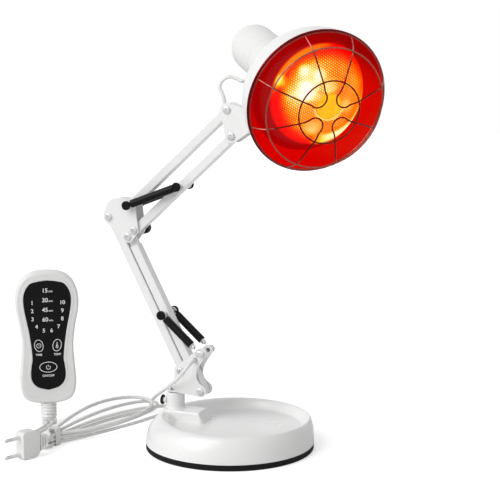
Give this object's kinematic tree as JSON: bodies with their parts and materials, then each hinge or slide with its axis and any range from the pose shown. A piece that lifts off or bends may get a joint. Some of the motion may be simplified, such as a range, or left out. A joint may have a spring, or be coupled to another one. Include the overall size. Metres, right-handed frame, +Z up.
{
  "type": "infrared heat lamp",
  "caption": "Desk infrared heat lamp: round dished base, sprung parallelogram arm, bowl shade with red reflector bulb and wire guard, wired handset and tied mains lead.",
  "frame": {"origin": "centre of the base's underside, on the surface that the lamp stands on", "axes": "+Z up; +X from the post across the dish, the way the arm reaches forward; +Y away from the viewer, across the arm"},
  "size_m": [0.4553, 0.2703, 0.4727],
  "materials": {
    "white_paint": "smooth gloss white enamel",
    "white_plastic": "smooth white plastic",
    "black_plastic": "satin black plastic",
    "black_panel": "glossy black film with white print",
    "rubber": "matt black rubber",
    "steel": "zinc-plated steel",
    "brass": "bright brass",
    "ceramic": "glazed off-white ceramic",
    "red_glass": "ruby glass with a dimpled face",
    "guard_wire": "bright wire, lit red by the bulb",
    "board": "green circuit board",
    "filament": "glowing filament",
    "cord": "smooth white cable jacket"
  },
  "bodies": {
    "base": {"base_shell": "white_paint", "base_pad": "rubber", "base_cover": "steel", "base_weight": "steel", "handset_back": "white_plastic", "handset_front": "white_plastic", "handset_panel": "black_panel", "handset_board": "board", "handset_boot": "white_plastic", "plug_body": "white_plastic", "plug_pin_top": "steel", "plug_pin_bottom": "steel", "mains_hank": "cord", "lamp_hank": "cord", "cord_tie": "cord", "lamp_tail": "cord"},
    "post_screw": {"post_knob": "black_plastic"},
    "arm_foot": {"swivel_spigot": "steel", "lower_bracket": "white_paint", "lower_bolt_left": "steel", "lower_bolt_right": "steel"},
    "lower_left_arm": {"lower_left_bar": "white_paint"},
    "lower_right_arm": {"lower_right_bar": "white_paint", "lower_spring_pin": "black_plastic"},
    "lower_springs": {"lower_spring_front": "steel", "lower_spring_back": "steel", "lower_sleeve_front": "black_plastic", "lower_sleeve_back": "black_plastic"},
    "elbow": {"elbow_plate_front": "white_paint", "elbow_plate_back": "white_paint", "elbow_bolt_left": "steel", "elbow_bolt_right": "steel", "elbow_spring_bolt": "black_plastic", "elbow_friction_bolt": "steel"},
    "elbow_grip": {"elbow_knob": "black_plastic"},
    "upper_top_arm": {"upper_top_bar": "white_paint"},
    "upper_bottom_arm": {"upper_bottom_bar": "white_paint", "upper_spring_pin": "black_plastic"},
    "upper_springs": {"upper_spring_front": "steel", "upper_spring_back": "steel"},
    "upper_spring_ends": {"upper_sleeve_front": "black_plastic", "upper_sleeve_back": "black_plastic"},
    "head_mount": {"head_bracket": "white_paint", "head_bolt_top": "steel", "head_bolt_bottom": "steel", "head_lead": "cord"},
    "head_yoke": {"swivel_yoke": "white_paint"},
    "tilt_screw": {"tilt_knob": "white_plastic"},
    "head": {"shade": "white_paint", "socket_housing": "white_plastic", "lampholder": "ceramic", "bulb_glass": "red_glass", "bulb_cap": "brass", "bulb_filament": "filament", "wire_guard": "guard_wire", "shade_lug": "white_paint"},
    "time_key": {"time_button": "black_panel"},
    "temp_key": {"temp_button": "black_panel"},
    "power_key": {"power_button": "black_panel"}
  },
  "joints": [
    {"name": "base_swivel", "type": "hinge", "parent": "base", "child": "arm_foot", "pos_m": [-0.068, 0, 0.057], "axis": [0, 0, 1], "range_deg": [-60, 60], "deforming": ["lamp_tail"]},
    {"name": "post_screw_turn", "type": "hinge", "parent": "base", "child": "post_screw", "pos_m": [-0.08, 0, 0.0455], "axis": [-1, 0, 0], "range_deg": [-180, 180]},
    {"name": "lower_arm_lift", "type": "hinge", "parent": "arm_foot", "child": "lower_left_arm", "pos_m": [-0.0571, 0, 0.0834], "axis": [0, 1, 0], "range_deg": [-2, 50]},
    {"name": "lower_arm_follow", "type": "hinge", "parent": "arm_foot", "child": "lower_right_arm", "pos_m": [-0.0328, 0, 0.0621], "axis": [0, 1, 0], "range_deg": [-2, 50]},
    {"name": "elbow_level", "type": "hinge", "parent": "lower_left_arm", "child": "elbow", "pos_m": [-0.1472, 0, 0.2552], "axis": [0, 1, 0], "range_deg": [-50, 2]},
    {"name": "lower_spring_swing", "type": "hinge", "parent": "arm_foot", "child": "lower_springs", "pos_m": [-0.0307, 0, 0.1068], "axis": [0, 1, 0], "range_deg": [-3.48, 86.86], "deforming": ["lower_spring_front", "lower_spring_back", "lower_sleeve_front", "lower_sleeve_back"]},
    {"name": "elbow_knob_turn", "type": "hinge", "parent": "elbow", "child": "elbow_grip", "pos_m": [-0.1153, 0, 0.2414], "axis": [0, 1, 0], "range_deg": [-180, 180]},
    {"name": "upper_arm_lift", "type": "hinge", "parent": "elbow", "child": "upper_top_arm", "pos_m": [-0.1205, 0, 0.2702], "axis": [0, -1, 0], "range_deg": [-36, 16]},
    {"name": "upper_arm_follow", "type": "hinge", "parent": "elbow", "child": "upper_bottom_arm", "pos_m": [-0.1153, 0, 0.2414], "axis": [0, -1, 0], "range_deg": [-36, 16]},
    {"name": "upper_spring_swing", "type": "hinge", "parent": "elbow", "child": "upper_springs", "pos_m": [-0.1205, 0, 0.2702], "axis": [0, -1, 0], "range_deg": [-36, 16]},
    {"name": "upper_spring_stretch", "type": "slide", "parent": "upper_springs", "child": "upper_spring_ends", "axis": [0.936, 0, 0.352], "range_m": [-0.0079, 0.01771], "deforming": ["upper_spring_front", "upper_spring_back", "upper_sleeve_front", "upper_sleeve_back"]},
    {"name": "head_level", "type": "hinge", "parent": "upper_top_arm", "child": "head_mount", "pos_m": [-0.0005, 0, 0.3798], "axis": [0, -1, 0], "range_deg": [-16, 36]},
    {"name": "head_swivel", "type": "hinge", "parent": "head_mount", "child": "head_yoke", "pos_m": [0.034, 0, 0.377], "axis": [0, 0, 1], "range_deg": [-50, 30], "deforming": ["head_lead"]},
    {"name": "head_tilt", "type": "hinge", "parent": "head_yoke", "child": "head", "pos_m": [0.034, 0, 0.39], "axis": [-0.7083, -0.7059, 0], "range_deg": [-30, 15]},
    {"name": "tilt_knob_turn", "type": "hinge", "parent": "head_yoke", "child": "tilt_screw", "pos_m": [0.034, 0, 0.39], "axis": [-0.7083, -0.7059, 0], "range_deg": [-180, 180]},
    {"name": "time_press", "type": "slide", "parent": "base", "child": "time_key", "axis": [-0.5592, 0.829, 0], "range_m": [0, 0.0008], "stiffness_N_per_m": 600},
    {"name": "temp_press", "type": "slide", "parent": "base", "child": "temp_key", "axis": [-0.5592, 0.829, 0], "range_m": [0, 0.0008], "stiffness_N_per_m": 600},
    {"name": "power_press", "type": "slide", "parent": "base", "child": "power_key", "axis": [-0.5592, 0.829, 0], "range_m": [0, 0.0008], "stiffness_N_per_m": 600}
  ],
  "couplings": [
    {"joint": "lower_arm_follow", "follows": "lower_arm_lift", "ratio": 1},
    {"joint": "elbow_level", "follows": "lower_arm_lift", "ratio": -1},
    {"joint": "lower_spring_swing", "follows": "lower_arm_lift", "ratio": 1.737},
    {"joint": "upper_arm_follow", "follows": "upper_arm_lift", "ratio": 1},
    {"joint": "upper_spring_swing", "follows": "upper_arm_lift", "ratio": 1},
    {"joint": "upper_spring_stretch", "follows": "upper_arm_lift", "m_per_rad": -0.0281},
    {"joint": "head_level", "follows": "upper_arm_lift", "ratio": -1}
  ]
}
